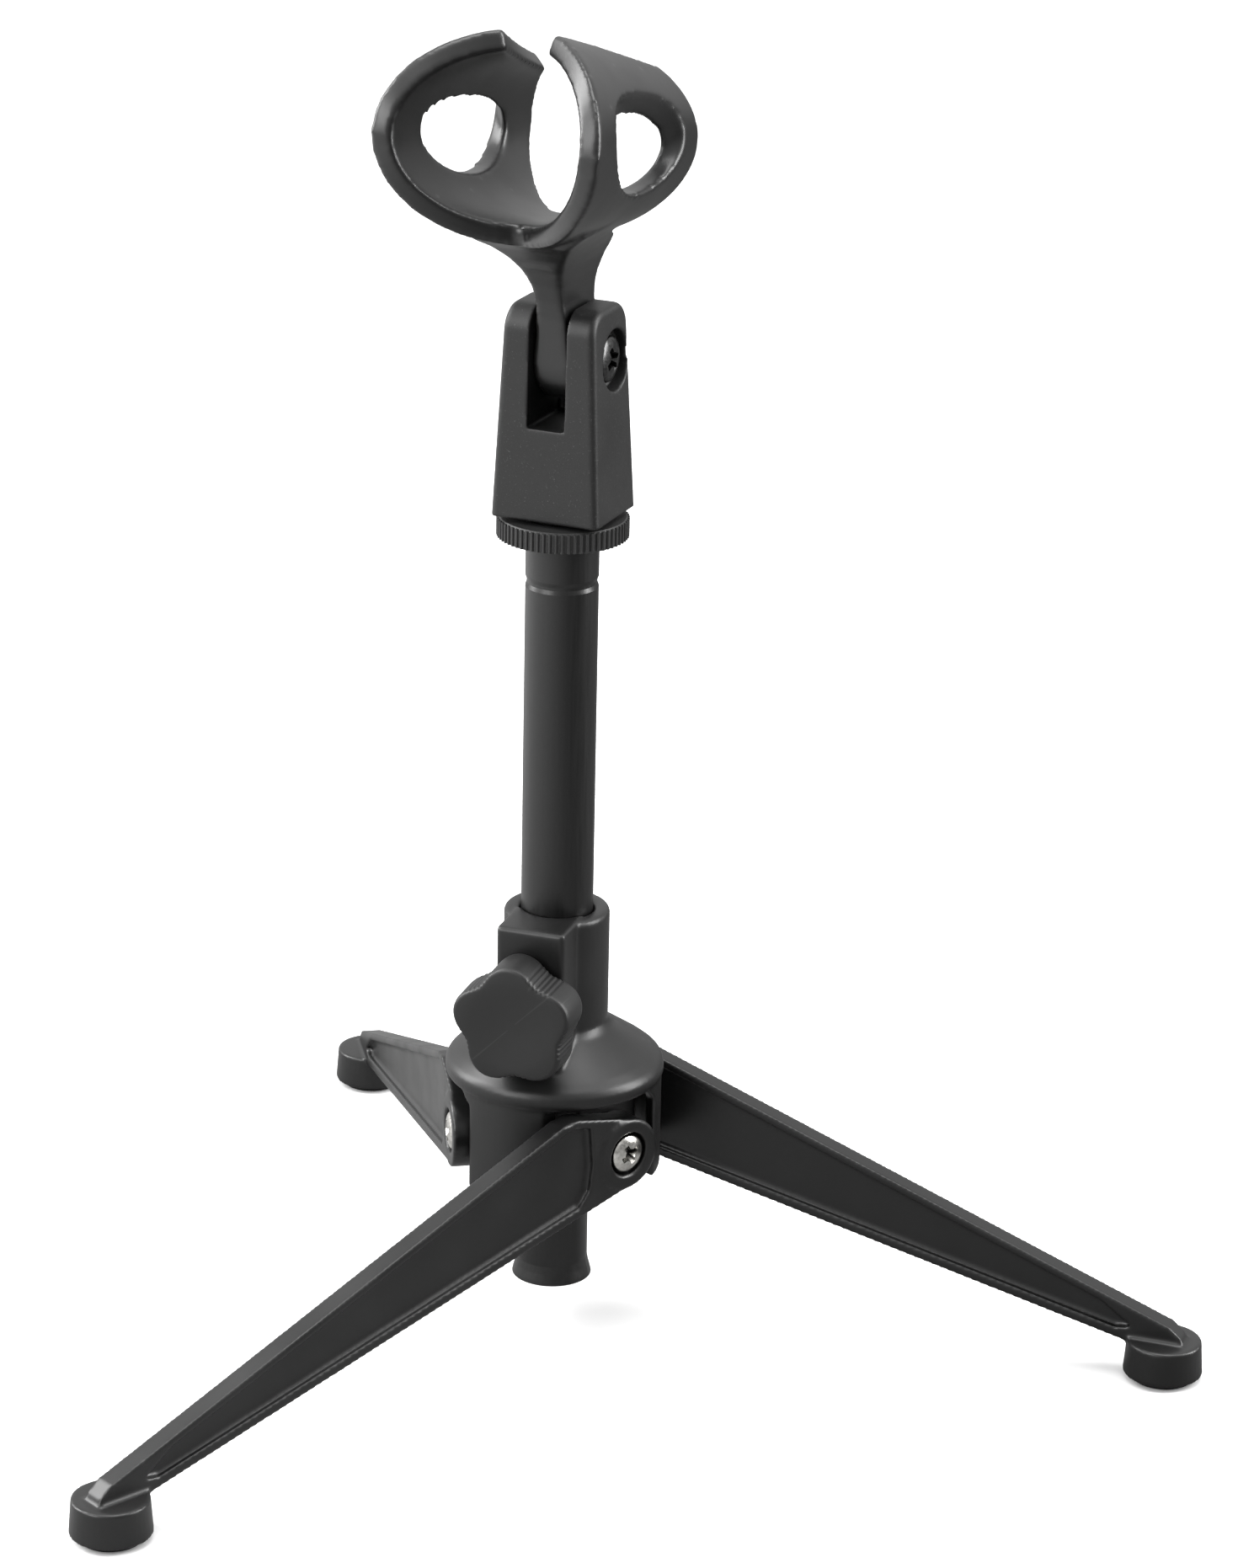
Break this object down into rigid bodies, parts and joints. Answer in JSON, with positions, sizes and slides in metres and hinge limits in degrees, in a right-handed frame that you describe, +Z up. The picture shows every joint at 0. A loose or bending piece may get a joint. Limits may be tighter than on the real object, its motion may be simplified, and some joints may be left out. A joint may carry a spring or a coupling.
{
  "type": "desktop mic stand",
  "caption": "Folding tripod desk stand with a clamped sliding mast and a tilting, swivelling clip whose open ring grips a handheld microphone.",
  "frame": {"origin": "on the table under the mast axis", "axes": "+Z up along the mast, -Y towards the clamp knob, +X along leg 2"},
  "size_m": [0.2167, 0.2287, 0.2677],
  "materials": {
    "hub_plastic": "fine satin moulded black",
    "leg_plastic": "satin moulded black",
    "knob_plastic": "satin moulded black",
    "clip_plastic": "fine grained moulded black",
    "cradle_plastic": "satin moulded charcoal",
    "black_tube": "semi-gloss black coat on steel tube",
    "bright_steel": "bright zinc plate",
    "dark_steel": "dark oxide",
    "brass": "turned brass",
    "rubber": "matte black rubber"
  },
  "bodies": {
    "hub": {"hub_body": "hub_plastic", "clamp_insert": "brass", "leg_screw_1": "bright_steel", "leg_screw_2": "bright_steel", "leg_screw_3": "bright_steel", "leg_washer_1": "bright_steel", "leg_washer_2": "bright_steel", "leg_washer_3": "bright_steel"},
    "mast": {"mast_tube": "black_tube", "mast_plug": "bright_steel"},
    "ring": {"lock_ring": "clip_plastic"},
    "clip": {"clip_base": "clip_plastic", "clip_screw": "dark_steel", "clip_nut": "dark_steel"},
    "cradle": {"clip_cradle": "cradle_plastic"},
    "knob": {"clamp_knob": "knob_plastic", "clamp_screw": "bright_steel"},
    "front_leg": {"leg_1": "leg_plastic", "foot_pad_1": "rubber"},
    "right_leg": {"leg_2": "leg_plastic", "foot_pad_2": "rubber"},
    "back_leg": {"leg_3": "leg_plastic", "foot_pad_3": "rubber"}
  },
  "joints": [
    {"name": "mast_slide", "type": "slide", "parent": "hub", "child": "mast", "axis": [0, 0, 1], "range_m": [-0.075, 0.0425]},
    {"name": "lock_ring_turn", "type": "hinge", "parent": "mast", "child": "ring", "pos_m": [0, 0, 0.16855], "axis": [0, 0, 1], "continuous": true},
    {"name": "clip_swivel", "type": "hinge", "parent": "mast", "child": "clip", "pos_m": [0, 0, 0.178], "axis": [0, 0, 1], "continuous": true},
    {"name": "clip_tilt", "type": "hinge", "parent": "clip", "child": "cradle", "pos_m": [0.00012, 0.0016, 0.2021], "axis": [0.9972, -0.075, 0], "range_deg": [-90, 75]},
    {"name": "knob_turn", "type": "hinge", "parent": "hub", "child": "knob", "pos_m": [0, -0.0166, 0.0739], "axis": [0, -1, 0], "range_deg": [0, 720]},
    {"name": "front_leg_fold", "type": "hinge", "parent": "hub", "child": "front_leg", "pos_m": [0.01702, -0.00832, 0.0433], "axis": [0.866, -0.5, 0], "range_deg": [0, 74]},
    {"name": "right_leg_fold", "type": "hinge", "parent": "hub", "child": "right_leg", "pos_m": [-0.0013, 0.0189, 0.0433], "axis": [0, 1, 0], "range_deg": [0, 74]},
    {"name": "back_leg_fold", "type": "hinge", "parent": "hub", "child": "back_leg", "pos_m": [-0.01572, -0.01058, 0.0433], "axis": [-0.866, -0.5, 0], "range_deg": [0, 74]}
  ]
}
